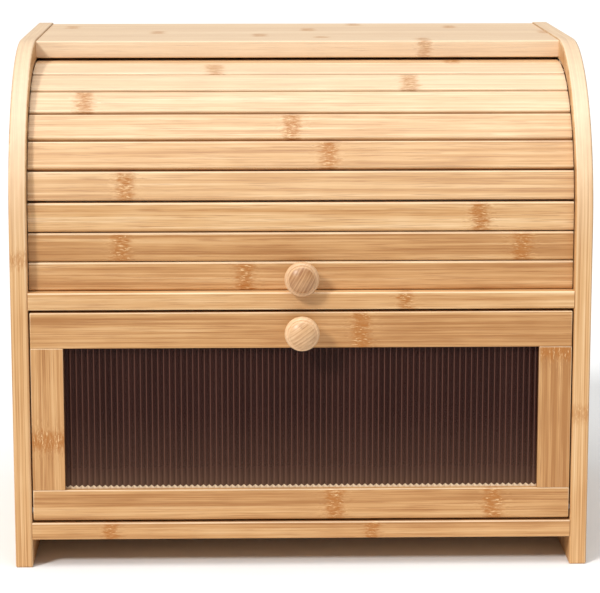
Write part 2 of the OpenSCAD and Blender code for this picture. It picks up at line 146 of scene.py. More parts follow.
class Shader:
    """One material and its nodes, built in the order that the finish is thought out."""

    NORMAL = 1      # outputs of a Texture Coordinate node
    OBJECT = 3

    def __init__(self, name: str) -> None:
        """Starts an empty material."""
        self.material = bpy.data.materials.new(name)
        self.material.use_nodes = True
        self.tree = self.material.node_tree
        self.tree.nodes.clear()

    def node(self, kind: str, settings: dict | None = None, inputs: dict | None = None,
             output: int = 0) -> Value:
        """Adds a node.

        Args:
            kind: The node's type.
            settings: Properties, set first; "stops" holds a ramp's (place, colour) pairs.
            inputs: Values or links by the socket's index, identifier or name.
            output: Index of the output to hand back.

        Returns:
            That output, ready for expressions.
        """
        made = self.tree.nodes.new(kind)
        for key, setting in (settings or {}).items():
            if key == "stops":
                self._stops(made, setting)
            else:
                setattr(made, key, setting)
        for key, value in (inputs or {}).items():
            socket = self._input(made, key)
            if isinstance(value, Value):
                self.tree.links.new(value.socket, socket)
            else:
                socket.default_value = value
        return Value(self, made.outputs[output])

    @staticmethod
    def _stops(made: bpy.types.Node, stops: Sequence[tuple[float, Colour]]) -> None:
        """Sets a colour ramp's stops."""
        ramp = made.color_ramp
        while len(ramp.elements) < len(stops):
            ramp.elements.new(1.0)
        for element, (place, colour) in zip(ramp.elements, stops):
            element.position = place
            element.color = colour

    @staticmethod
    def _input(made: bpy.types.Node, key: int | str) -> bpy.types.NodeSocket:
        """Finds an input by index, identifier or name."""
        if isinstance(key, int):
            return made.inputs[key]
        named = [s for s in made.inputs if s.identifier == key]
        return named[0] if named else made.inputs[key]

    def places(self, centre: Sequence[float], turn: Sequence[float]) -> Value:
        """Object coordinates seen from a piece's own centre and axes."""
        here = self.node("ShaderNodeTexCoord", output=self.OBJECT)
        return self.node("ShaderNodeMapping", {"vector_type": "TEXTURE"},
                         {"Vector": here, "Location": tuple(centre), "Rotation": tuple(turn)})

    def split(self, vector: Value) -> tuple[Value, Value, Value]:
        """The three numbers of a vector."""
        made = self.node("ShaderNodeSeparateXYZ", None, {0: vector}).socket.node
        x, y, z = (Value(self, socket) for socket in made.outputs)
        return x, y, z

    def join(self, x: Value | float, y: Value | float, z: Value | float) -> Value:
        """A vector from three numbers."""
        return self.node("ShaderNodeCombineXYZ", None, {0: x, 1: y, 2: z})

    def noise(self, vector: Value, detail: float = 2.0, rough: float = 0.5) -> Value:
        """Soft noise with cells one unit wide."""
        return self.node("ShaderNodeTexNoise", None,
                         {"Vector": vector, "Scale": 1.0, "Detail": detail, "Roughness": rough})

    def streaks(self, place: Sequence[Value], rates: Sequence[float],
                shift: "Sequence[Value | float]" = ORIGIN, detail: float = 2.0,
                rough: float = 0.5) -> Value:
        """Soft noise whose cells have their own length in each direction.

        Args:
            place: Three coordinates in metres.
            rates: Cells per metre along each of them.
            shift: How far the pattern is moved along each, in cells.
            detail: Number of finer layers.
            rough: Strength of the finer layers.

        Returns:
            The noise, 0.5 on average.
        """
        cells = (at * rate + move for at, rate, move in zip(place, rates, shift))
        return self.noise(self.join(*cells), detail, rough)

    def chance(self, number: Value) -> Value:
        """A random share from 0 to 1 that is fixed for each value of a number."""
        return self.node("ShaderNodeTexWhiteNoise", {"noise_dimensions": "1D"}, {"W": number})

    def ramp(self, number: Value, stops: Sequence[tuple[float, Colour]]) -> Value:
        """Colour from a number."""
        return self.node("ShaderNodeValToRGB", {"stops": stops}, {0: number})

    def mix(self, start: Value | Colour, end: Value | Colour, share: Value | float) -> Value:
        """Blends two colours."""
        return self.node("ShaderNodeMix", {"data_type": "RGBA"},
                         {"Factor_Float": share, "A_Color": start, "B_Color": end}, output=2)

    def worn_and_lit(self) -> Value:
        """1 on eased edges and 0 elsewhere."""
        return self.node("ShaderNodeAttribute", {"attribute_name": WEAR_AND_HIGHLIGHT}, output=2)

    def normal(self) -> tuple[Value, Value, Value]:
        """Which way the surface faces, in the frame's axes."""
        return self.split(self.node("ShaderNodeTexCoord", output=self.NORMAL))

    def facing_up(self) -> Value:
        """1 where the surface faces up and 0 where it faces down."""
        _, _, up = self.normal()
        return up.fade(0.3, -0.15)

    def finish(self, sockets: dict, height: Value | None = None,
               depth: float = 0.0) -> bpy.types.Material:
        """Closes the material.

        Args:
            sockets: Values and links of the surface shader.
            height: Relief from 0 to 1, if the surface has one.
            depth: Depth of that relief in metres.

        Returns:
            The finished material.
        """
        if height is not None:
            sockets["Normal"] = self.node("ShaderNodeBump", None,
                                          {"Strength": 1.0, "Distance": depth, "Height": height})
        surface = self.node("ShaderNodeBsdfPrincipled", None, sockets)
        end = self.tree.nodes.new("ShaderNodeOutputMaterial")
        self.tree.links.new(surface.socket, end.inputs["Surface"])
        return self.material


# ---- Finishes ----


CANE = [(0.0, tint(170, 116, 62)), (0.35, tint(202, 152, 97)),
        (0.65, tint(220, 177, 126)), (1.0, tint(236, 205, 163))]
PORE = tint(156, 98, 48)
# colour towards which cane is painted where light from above falls on it
LIT_CANE = tint(252, 232, 204)
KNUCKLE = tint(172, 106, 38)
KNUCKLE_GLINT = tint(246, 212, 160)
GLUE_LINE = tint(140, 92, 48)
# colour of the eased edges: rubbed wear, with a painted highlight where they face up
RUBBED_LIT_CANE = tint(254, 232, 196)
SOLID = 0.25      # strip width of slats, rails, stiles and beads, far wider than they are


class Along(Enum):
    """Which way a piece's fibres run; the value turns the pattern's own X onto that axis."""

    WIDTH = (0.0, 0.0, 0.0)
    HEIGHT = (0.0, -math.pi / 2, 0.0)                   # strips side by side in depth
    HEIGHT_ACROSS = (-math.pi / 2, -math.pi / 2, 0.0)   # strips side by side in width


@dataclass(frozen=True)
class Grain:
    """Masks and values of one piece of bamboo, each from 0 to 1.

    Attributes:
        fibres: The finest streaks.
        bands: Broader streaks.
        patches: Slow changes of tone.
        dashes: Short strokes, seen in the knuckles.
        pores: Dark open pores.
        seam: Glue lines between strips.
        luck: A number of its own for each strip.
        knuckle: The knuckles.
        rim: Where layers follow a bent rim.
        flat: Everywhere else.
    """

    fibres: Value
    bands: Value
    patches: Value
    dashes: Value
    pores: Value
    seam: Value
    luck: Value
    knuckle: Value
    rim: Value | float
    flat: Value | float


@dataclass(frozen=True)
class Bamboo:
    """Oiled laminated bamboo: long fibres, glued strips and the knuckles of the cane.

    Attributes:
        centre: Middle of the piece, where the pattern is centred.
        turn: Angles that lay the pattern's X along the fibres.
        seed: Makes each piece's grain its own.
        shade: 0 for pale cane, 1 for dark cane.
        strip: Width of the glued strips.
        knuckles: Places of knuckles along the fibres, from the centre.
        knuckle_gap: Distance between knuckles on the other strips; 0 for none.
        knuckle_half: Half the width of a knuckle.
        knuckle_reach: How far across the piece the placed knuckles hold.
        painted_light: How far the cane is painted paler, as painted light where light from above
            falls on it.
        bent_rim: True where thin layers follow the piece's rim round a bend.
        swirl: How far fibres bend round a knuckle.
        relief: Depth of the grain.
    """

    centre: tuple[float, float, float]
    turn: tuple[float, float, float] = Along.WIDTH.value
    seed: float = 0.0
    shade: float = 0.5
    strip: float = SOLID
    knuckles: tuple[float, ...] = ()
    knuckle_gap: float = 0.0
    knuckle_half: float = 0.0062
    knuckle_reach: float = 1.0
    painted_light: float = 0.0
    bent_rim: bool = False
    swirl: float = 1.7 * MM
    relief: float = 0.1 * MM

    def material(self, name: str) -> bpy.types.Material:
        """Builds the wood's material."""
        shader = Shader(name)
        place = shader.split(shader.places(self.centre, self.turn))
        grain = self._grain(shader, place)
        # Painted highlight: eased edges that face up are painted paler, partly as rubbed wear and
        # partly as light falling on them.
        rubbed_and_lit = shader.worn_and_lit() * shader.facing_up() * (0.35 + grain.patches * 0.5)
        wood = self._colour(shader, place[0], grain)
        wood = shader.mix(wood, RUBBED_LIT_CANE, rubbed_and_lit * max(0.1, 0.8 - self.painted_light * 1.6))
        gloss = (0.46 - (grain.fibres - 0.5) * 0.22 + grain.knuckle * 0.08
                 + grain.seam * 0.1 - rubbed_and_lit * 0.08)
        height = (grain.fibres * 0.6 + grain.dashes * grain.knuckle * 0.9
                  - grain.pores * 0.5 - grain.seam * 0.5)
        return shader.finish({"Base Color": wood, "Roughness": gloss,
                              "Specular IOR Level": 0.5}, height, self.relief)

    def _grain(self, shader: Shader, place: tuple[Value, Value, Value]) -> Grain:
        """Works out where fibres, pores, glue lines and knuckles lie."""
        along, across, through = place
        own = (self.seed, 0.0, 0.0)
        lanes = across / self.strip + (0.5 + self.seed)
        luck = shader.chance(lanes.whole() + self.seed * 3.7)
        rim = self._rim(shader) if self.bent_rim else 0.0
        flat = 1 - rim
        near, knuckle = self._knuckles(shader, place, luck)
        swirl = (shader.streaks(place, (210, 330, 330)) - 0.5) * near * self.swirl
        bent = (along, across + swirl, through + swirl)
        fibres = shader.streaks(bent, (9, 1000, 1000), (self.seed * 5, 0.0, 0.0), 3.0, 0.6)
        bands = shader.streaks(bent, (3.2, 300, 300), (self.seed, luck * 9, 0.0))
        if self.bent_rim:
            layers = shader.streaks(place, (7, 12, 1100), own, 3.0, 0.6)
            fibres = fibres + (layers - fibres) * rim
            bands = bands + (layers - bands) * rim * 0.7
        return Grain(
            fibres, bands,
            patches=shader.streaks(place, (22, 60, 60), own),
            dashes=shader.streaks(bent, (230, 1250, 1250), detail=3.0, rough=0.65),
            pores=shader.streaks(bent, (34, 1800, 1800), own).fade(0.32, 0.46) * flat,
            seam=abs(lanes.part() - 0.5).fade(0.5, 0.485) * flat,
            luck=luck, knuckle=knuckle, rim=rim, flat=flat)

    def _colour(self, shader: Shader, along: Value, grain: Grain) -> Value:
        """Colour of the cane before its edges are rubbed."""
        tone = ((grain.fibres - 0.5) * 1.1 + (grain.bands - 0.5) * 1.2
                + (grain.patches - 0.5) * 0.4 + (grain.luck - 0.5) * grain.flat * 0.26
                + (0.66 - self.shade * 0.5))
        wood = shader.mix(shader.ramp(tone, CANE), PORE, grain.pores * 0.45)
        # Painted light: the cane is painted paler where light from above falls on it; on a bent
        # rim only on its upper part.
        if self.painted_light:
            lit_share = along.fade(0.15, 0.02) * grain.rim if self.bent_rim else 1.0
            wood = shader.mix(wood, LIT_CANE, lit_share * self.painted_light)
        mottled = (grain.knuckle * (0.7 + (grain.dashes - 0.5) * 2.6)).above(0.0)
        wood = shader.mix(wood, KNUCKLE, mottled * (1 - self.painted_light * 0.8))
        glint = grain.knuckle * grain.dashes.fade(0.34, 0.42)
        wood = shader.mix(wood, KNUCKLE_GLINT, glint * 0.6)
        return shader.mix(wood, GLUE_LINE, grain.seam * 0.35)

    @staticmethod
    def _rim(shader: Shader) -> Value:
        """1 on the panel's rim and 0 on its two wide faces."""
        side, _, _ = shader.normal()
        return abs(side).fade(0.3, 0.7)

    def _knuckles(self, shader: Shader, place: tuple[Value, Value, Value],
                  luck: Value) -> tuple[Value, Value]:
        """Masks of the fibres that bend round knuckles and of the knuckles themselves."""
        along, across, _ = place
        ragged = shader.streaks(place, (90, 620, 620), detail=3.0, rough=0.6)
        jitter = (ragged - 0.5) * (15 * MM)
        inside = across.fade(self.knuckle_reach, self.knuckle_reach + 0.5 * MM)
        spots = [(abs(along - spot), inside) for spot in self.knuckles]
        if self.knuckle_gap:
            run = (along / self.knuckle_gap + luck * 7.3 + self.seed).part()
            others = 1 - inside if self.knuckles else 1.0
            spots.append((abs(run - 0.5) * self.knuckle_gap, others))
        half = self.knuckle_half
        near = mask = along * 0.0
        for distance, where in spots:
            near = near.above(distance.fade(half, half * 2.8) * where)
            mask = mask.above((distance + jitter).fade(half * 0.4, half * 1.4) * where)
        return near, mask


@dataclass(frozen=True)
class TurnedWood:
    """Close-grained beech, turned and waxed.

    Attributes:
        centre: Middle of the piece.
        turn: Angles that lay the grain's own X along the fibres.
        seed: Makes each piece's grain its own.
        pale: Colour between the rings.
        dark: Colour of the rings.
        fleck: Colour of the small flecks.
        rubbed_and_lit: Colour of the turned rim: rubbed paler, with a painted highlight.
        rings: How close the rings lie, in radians per metre.
        rim_r: Radius outside which the turned rim is painted paler, as rubbing and a painted
            highlight; 0 for no rim.
        relief: Depth of the grain.
    """

    centre: tuple[float, float, float]
    turn: tuple[float, float, float] = Along.WIDTH.value
    seed: float = 0.0
    pale: Colour = tint(226, 184, 140)
    dark: Colour = tint(186, 134, 88)
    fleck: Colour = tint(136, 84, 44)
    rubbed_and_lit: Colour = tint(246, 208, 166)
    rings: float = 2600.0
    rim_r: float = 0.0
    relief: float = 0.05 * MM

    def material(self, name: str) -> bpy.types.Material:
        """Builds the turned wood's material."""
        shader = Shader(name)
        place = shader.split(shader.places(self.centre, self.turn))
        along, across, through = place
        bend = shader.streaks(place, (30, 60, 60), (0.0, self.seed, 0.0))
        rings = ((through * self.rings + across * 160 + bend * 9).wave() + 1) * 0.5
        fibres = shader.streaks(place, (60, 240, 1500), (self.seed, 0.0, 0.0), 3.0, 0.6)
        flecks = shader.streaks(place, (200, 300, 1900)).fade(0.3, 0.38)
        cloud = shader.streaks(place, (50, 60, 160), (0.0, 0.0, self.seed))
        tone = rings * 0.16 + fibres * 0.7 + cloud * 0.3
        wood = shader.mix(self.dark, self.pale, tone.fade(0.8, 0.35))
        wood = shader.mix(wood, self.fleck, flecks * 0.5)
        # Painted highlight: the turned rim is painted paler, partly as rubbing and partly as
        # light catching it.
        if self.rim_r:
            span = along * along + through * through
            worn_and_lit = span.fade(self.rim_r ** 2 * 1.3, self.rim_r ** 2)
            wood = shader.mix(wood, self.rubbed_and_lit, worn_and_lit * 0.5)
        gloss = 0.42 + (fibres - 0.5) * 0.2
        return shader.finish({"Base Color": wood, "Roughness": gloss,
                              "Coat Weight": 0.12, "Coat Roughness": 0.3},
                             fibres * 0.5 - flecks, self.relief)


@dataclass(frozen=True)
class CanvasWeave:
    """Plain-woven cotton canvas.

    Attributes:
        centre: Middle of the strip.
        turn: Angles that lay the weave on the strip.
        pitch: Distance between threads.
        pale: Colour of the threads' tops.
        dark: Painted shade on their sides.
        hollow_shade: Colour of the painted shade between the threads.
        relief: Depth of the weave.
    """

    centre: tuple[float, float, float]
    turn: tuple[float, float, float]
    pitch: float = 0.9 * MM
    pale: Colour = tint(228, 219, 196)
    dark: Colour = tint(186, 172, 143)
    hollow_shade: Colour = tint(140, 124, 96)
    relief: float = 0.12 * MM

    def material(self, name: str) -> bpy.types.Material:
        """Builds the cloth's material."""
        shader = Shader(name)
        along, _, across = shader.split(shader.places(self.centre, self.turn))
        beat = math.pi / self.pitch
        slub = shader.streaks((along, across, across), (300, 300, 40), detail=3.0)
        weft = (along * beat).wave()
        warp = (across * beat).wave()
        weave = weft * warp * 0.5 + 0.5
        threads = abs(weft) * abs(warp)
        # Painted shade: the threads' sides are painted darker than their tops, and the hollows
        # between them darkest.
        cloth = shader.mix(self.dark, self.pale, (weave * 0.5 + slub * 0.6).fade(0.95, 0.2))
        cloth = shader.mix(self.hollow_shade, cloth, threads.fade(0.35, 0.0))
        gloss = 0.9 - slub * 0.08
        return shader.finish({"Base Color": cloth, "Roughness": gloss, "Sheen Weight": 0.2},
                             weave * 0.6 + threads * 0.4, self.relief)


@dataclass(frozen=True)
class ReededPane:
    """Smoke-brown acrylic with upright ribs.

    Attributes:
        centre: Middle of the pane.
        pitch: Distance between ribs.
        half_height: Half the pane's height, over which the painted light from inside fades
            upwards.
        sunk: Height of the pane that sits in the rail below it.
        clear: How much of what is behind shows through, from 0 to 1.
        smoke: Darkest and palest colour of the acrylic itself.
        rib_highlight: Colour of the painted highlight on each rib's left flank.
        valley_shade: Colour of the painted shade between the ribs.
        lit_inside: Colour of the painted light from the lit inside, over the pane's lower half.
        lit_foot: Colour of the brighter painted light near its foot.
        sill: Colour of the scalloped band of light at its foot.
        relief: Depth of the smears.
    """

    centre: tuple[float, float, float]
    pitch: float
    half_height: float
    sunk: float
    clear: float = 0.12
    smoke: tuple[Colour, Colour] = (tint(44, 17, 10), tint(54, 26, 19))
    rib_highlight: Colour = tint(104, 72, 60)
    valley_shade: Colour = tint(22, 4, 1)
    lit_inside: Colour = tint(112, 80, 62)
    lit_foot: Colour = tint(136, 106, 84)
    sill: Colour = tint(250, 226, 192)
    relief: float = 0.005 * MM

    def material(self, name: str) -> bpy.types.Material:
        """Builds the pane's material."""
        shader = Shader(name)
        place = shader.split(shader.places(self.centre, Along.WIDTH.value))
        along, _, up = place
        run = (along / self.pitch).part()
        # Painted shade: the valleys between the ribs are painted dark, and let less show through.
        valley_shade = abs(run - 0.5).fade(0.5, 0.42)
        # Painted highlight: a light line down each rib's left flank, where it catches the light.
        shoulder = abs(run - 0.3).fade(0.03, 0.13)
        drift = shader.streaks(place, (40, 10, 3), detail=3.0)
        smears = shader.streaks(place, (30, 30, 22), detail=3.0)
        tone = shader.mix(*self.smoke, drift.fade(0.7, 0.3))
        tone = shader.mix(tone, self.rib_highlight, shoulder * 0.55)
        tone = shader.mix(tone, self.valley_shade, valley_shade * 0.8)
        # Painted light: the lit inside seen through the pane, painted as a paler tone that grows
        # towards the foot.
        lit_inside = up.fade(-self.half_height, self.half_height * 0.2)
        tone = shader.mix(tone, self.lit_inside, lit_inside * 0.26)
        lit_foot = up.fade(-self.half_height, -self.half_height * 0.55)
        tone = shader.mix(tone, self.lit_foot, lit_foot * (1 - valley_shade) * 0.26)
        scallop = abs(run - 0.5) * (2.6 * MM) + (self.sunk + 0.5 * MM - self.half_height)
        sill = (up - scallop).fade(0.0, 0.5 * MM)
        tone = shader.mix(tone, self.sill, sill * 0.85)
        clear = self.clear * (1 - valley_shade * 0.8)
        gloss = 0.42 + smears * 0.14
        return shader.finish({"Base Color": tone, "Roughness": gloss, "Alpha": 1 - clear,
                              "IOR": 1.49, "Specular IOR Level": 0.14}, smears, self.relief)


@dataclass(frozen=True)
class Steel:
    """Zinc-plated steel with a drawn grain.

    Attributes:
        colour: Colour of the plating.
        dull: Colour of its duller spots.
        brushed: Lines per metre across the grain.
        relief: Depth of the lines.
    """

    colour: Colour = tint(196, 196, 198)
    dull: Colour = tint(128, 126, 122)
    brushed: float = 1400.0
    relief: float = 0.01 * MM

    def material(self, name: str) -> bpy.types.Material:
        """Builds the metal's material."""
        shader = Shader(name)
        place = shader.split(shader.places(ORIGIN, Along.WIDTH.value))
        lines = shader.streaks(place, (60, self.brushed, self.brushed), detail=3.0)
        cloud = shader.streaks(place, (150, 150, 150))
        metal = shader.mix(self.colour, self.dull, cloud.fade(0.75, 0.4) * 0.5)
        gloss = 0.26 + lines * 0.2 + cloud * 0.12
        return shader.finish({"Base Color": metal, "Metallic": 1.0, "Roughness": gloss},
                             lines, self.relief)


@dataclass(frozen=True)
class MouldedPlastic:
    """Brown moulded plastic with a fine spark-eroded grain.

    Attributes:
        colour: Colour of the plastic.
        dark: Colour of its darker clouds.
        relief: Depth of the grain.
    """

    colour: Colour = tint(92, 62, 42)
    dark: Colour = tint(66, 42, 28)
    relief: float = 0.03 * MM

    def material(self, name: str) -> bpy.types.Material:
        """Builds the plastic's material."""
        shader = Shader(name)
        place = shader.split(shader.places(ORIGIN, Along.WIDTH.value))
        grain = shader.streaks(place, (2600, 2600, 2600), detail=3.0)
        cloud = shader.streaks(place, (90, 90, 90))
        tone = shader.mix(self.colour, self.dark, cloud.fade(0.7, 0.3) * 0.6)
        return shader.finish({"Base Color": tone, "Roughness": 0.42 + grain * 0.25},
                             grain, self.relief)


@dataclass(frozen=True)
class PaleFloor:
    """Matt white studio floor.

    Attributes:
        dull: Its darker clouds.
        pale: Its paler clouds.
    """

    dull: Colour = tint(236, 236, 235)
    pale: Colour = tint(244, 244, 243)

    def material(self, name: str) -> bpy.types.Material:
        """Builds the floor's material."""
        shader = Shader(name)
        place = shader.split(shader.places(ORIGIN, Along.WIDTH.value))
        cloud = shader.streaks(place, (3, 3, 1), detail=3.0)
        tone = shader.mix(self.dull, self.pale, cloud)
        return shader.finish({"Base Color": tone, "Roughness": 0.85 + cloud * 0.05})


Finish = Bamboo | TurnedWood | CanvasWeave | ReededPane | Steel | MouldedPlastic | PaleFloor


# ---- Workbench ----


def middle(low: Vector, high: Vector) -> tuple[float, float, float]:
    """Centre between two corners."""
    return tuple((low + high) / 2)


def block(low: Sequence[float], high: Sequence[float]) -> bmesh.types.BMesh:
    """A solid block between two corners."""
    work = bmesh.new()
    low, high = Vector(low), Vector(high)
    made = bmesh.ops.create_cube(work, size=1.0)
    bmesh.ops.scale(work, vec=high - low, verts=made["verts"])
    bmesh.ops.translate(work, vec=(low + high) / 2, verts=made["verts"])
    return work


def rod(radius: float, length: float, sides: int) -> bmesh.types.BMesh:
    """A closed prism about the origin that stands along Z."""
    work = bmesh.new()
    bmesh.ops.create_cone(work, cap_ends=True, segments=sides, radius1=radius, radius2=radius,
                          depth=length)
    return work


def turned(profile: Sequence[tuple[float, float]], steps: int) -> bmesh.types.BMesh:
    """Turns a profile into a closed solid that stands along +Z.

    Args:
        profile: (radius, height) points from one pole to the other, in metres.
        steps: Number of facets round the axis.

    Returns:
        The turned solid.
    """
    work = bmesh.new()
    points = [work.verts.new((radius, 0, height)) for radius, height in profile]
    edges = [work.edges.new(pair) for pair in zip(points, points[1:])]
    bmesh.ops.spin(work, geom=points + edges, cent=(0, 0, 0), axis=(0, 0, 1),
                   angle=math.tau, steps=steps, use_merge=True)
    tidy(work)
    for face in work.faces:
        face.smooth = True
    crease(work, SHARP)
    return work


def tidy(work: bmesh.types.BMesh) -> None:
    """Merges doubles and turns the faces outwards."""
    bmesh.ops.remove_doubles(work, verts=work.verts, dist=0.001 * MM)
    bmesh.ops.recalc_face_normals(work, faces=work.faces)


def crease(work: bmesh.types.BMesh, angle: float) -> None:
    """Keeps corners steeper than an angle crisp on smooth faces."""
    for edge in work.edges:
        if len(edge.link_faces) == 2 and edge.calc_face_angle(0.0) > angle:
            edge.smooth = False


def runs_across(edge: bmesh.types.BMEdge) -> bool:
    """True for an edge that runs from one side of the box to the other."""
    return abs(edge.verts[0].co.x - edge.verts[1].co.x) > MM


def rounded(work: bmesh.types.BMesh, edges: Iterable[bmesh.types.BMEdge], width: float,
            segments: int, clamp: bool = False) -> list[bmesh.types.BMFace]:
    """Rounds edges over and hands back the new faces."""
    return bmesh.ops.bevel(
        work, geom=list(edges), offset=width, offset_type="OFFSET", affect="EDGES",
        segments=segments, profile=0.5, material=-1, clamp_overlap=clamp)["faces"]


def ease(work: bmesh.types.BMesh, width: float, segments: int = 3,
         choose: Callable[[bmesh.types.BMEdge], bool] | None = None) -> None:
    """Rounds a solid's sharp edges over and marks the new faces, which are painted paler as
    rubbed wear and, where they face up, as a painted highlight.

    Args:
        work: The solid.
        width: Width of the rounding.
        segments: Facets across it.
        choose: Picks the edges; all the sharp ones if it is left out.
    """
    worn_and_lit = work.faces.layers.float.get(WEAR_AND_HIGHLIGHT) or work.faces.layers.float.new(WEAR_AND_HIGHLIGHT)
    edges = [edge for edge in work.edges
             if len(edge.link_faces) == 2 and edge.calc_face_angle(0.0) > SHARP
             and (choose is None or choose(edge))]
    fresh = set(rounded(work, edges, width, segments, clamp=True))
    for face in fresh:
        face[worn_and_lit] = 1.0
        face.smooth = True
    for edge in work.edges:
        if len([face for face in edge.link_faces if face in fresh]) == 1:
            edge.smooth = False


def joined(parts: Iterable[bmesh.types.BMesh]) -> bmesh.types.BMesh:
    """Puts several solids in one mesh."""
    whole = bmesh.new()
    for part in parts:
        held = bpy.data.meshes.new("held")
        part.to_mesh(held)
        part.free()
        whole.from_mesh(held)
        bpy.data.meshes.remove(held)
    return whole


def loose_object(name: str, work: bmesh.types.BMesh) -> bpy.types.Object:
    """Makes an object of a bmesh, links it to the scene and frees the bmesh."""
    mesh = bpy.data.meshes.new(name)
    work.to_mesh(mesh)
    work.free()
    made = bpy.data.objects.new(name, mesh)
    bpy.context.scene.collection.objects.link(made)
    return made


def carve(work: bmesh.types.BMesh, *cutters: bmesh.types.BMesh) -> bmesh.types.BMesh:
    """Cuts solids out of a solid, one after another.

    Args:
        work: The solid to cut; it is used up.
        cutters: What is taken away; they are used up.

    Returns:
        The carved solid.
    """
    host = loose_object("carved", work)
    tools = [loose_object("cutter", cutter) for cutter in cutters]
    for tool in tools:
        step = host.modifiers.new("cut", "BOOLEAN")
        step.operation = "DIFFERENCE"
        step.solver = "EXACT"
        step.object = tool
    graph = bpy.context.evaluated_depsgraph_get()
    mesh = bpy.data.meshes.new_from_object(host.evaluated_get(graph))
    carved = bmesh.new()
    carved.from_mesh(mesh)
    bpy.data.meshes.remove(mesh)
    for spare in (host, *tools):
        data = spare.data
        bpy.data.objects.remove(spare)
        bpy.data.meshes.remove(data)
    return carved


def placed(work: bmesh.types.BMesh, matrix: Matrix) -> bmesh.types.BMesh:
    """Moves a bmesh and turns its faces outwards again."""
    bmesh.ops.transform(work, matrix=matrix, verts=work.verts)
    bmesh.ops.recalc_face_normals(work, faces=work.faces)
    return work


def flipped(work: bmesh.types.BMesh) -> bmesh.types.BMesh:
    """Mirrors a right-hand piece to the left-hand side."""
    return placed(work, Matrix.Scale(-1, 4, (1, 0, 0)))


def deliver(name: str, work: bmesh.types.BMesh, finish: Finish, body: str,
            stands_for: Sequence[str]) -> bpy.types.Object:
    """Makes a finished piece that rides on a body.

    Args:
        name: Name of the piece, to which "_finished" is added.
        work: Its mesh, used up.
        finish: Its finish.
        body: Body that it moves with.
        stands_for: Nodes of the model that it replaces.

    Returns:
        The piece.
    """
    piece = loose_object(f"{name}_finished", work)
    piece.data.materials.append(finish.material(name))
    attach(piece, body)
    if stands_for:
        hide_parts(*stands_for)
    log.info("%s: %d faces on %s", name, len(piece.data.polygons), body)
    return piece


def dress(node: str, finish: Finish) -> None:
    """Gives a node of the model a finish and keeps its shape."""
    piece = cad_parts[node]
    material = finish.material(node)
    for slot in piece.material_slots:
        slot.material = material
    if not piece.material_slots:
        piece.data.materials.append(material)
    log.info("%s: dressed", node)


def corners(node: str) -> list[Vector]:
    """A node's corner points, each of them once."""
    seen = {tuple(round(value, 6) for value in corner.co): corner.co
            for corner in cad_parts[node].data.vertices}
    return [Vector(point) for point in seen.values()]


# ---- Case ----


